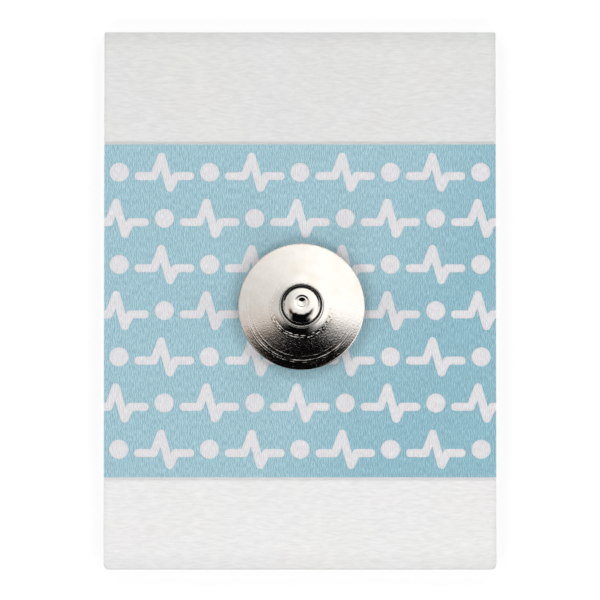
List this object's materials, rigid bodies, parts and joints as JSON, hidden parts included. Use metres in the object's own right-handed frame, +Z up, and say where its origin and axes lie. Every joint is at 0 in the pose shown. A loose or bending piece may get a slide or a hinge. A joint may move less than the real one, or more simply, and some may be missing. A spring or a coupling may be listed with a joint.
{
  "type": "ecg electrode",
  "caption": "Disposable ECG electrode: a flat rectangular foam pad with a printed label across it, a ball snap stud for the lead on top and a round gel contact underneath.",
  "frame": {"origin": "middle of the pad's underside, the face that sticks to the skin", "axes": "+Z up through the pad to the stud, +Y along the pad towards its longer bare end, +X across the pad to the right as the label is read"},
  "size_m": [0.0364, 0.05, 0.0049],
  "materials": {
    "foam": "matte closed-cell polyethylene foam",
    "label_film": "satin white film",
    "label_print": "pale blue ink on satin film",
    "nickel_plate": "bright nickel plate on brass",
    "silver_chloride": "dull silver/silver chloride coat on moulded plastic",
    "hydrogel": "wet, translucent gel"
  },
  "bodies": {
    "root": {"foam_pad": "foam", "label_stock": "label_film", "label_ink": "label_print", "snap_stud": "nickel_plate", "sensor_eyelet": "silver_chloride", "gel_disc": "hydrogel"}
  },
  "joints": []
}
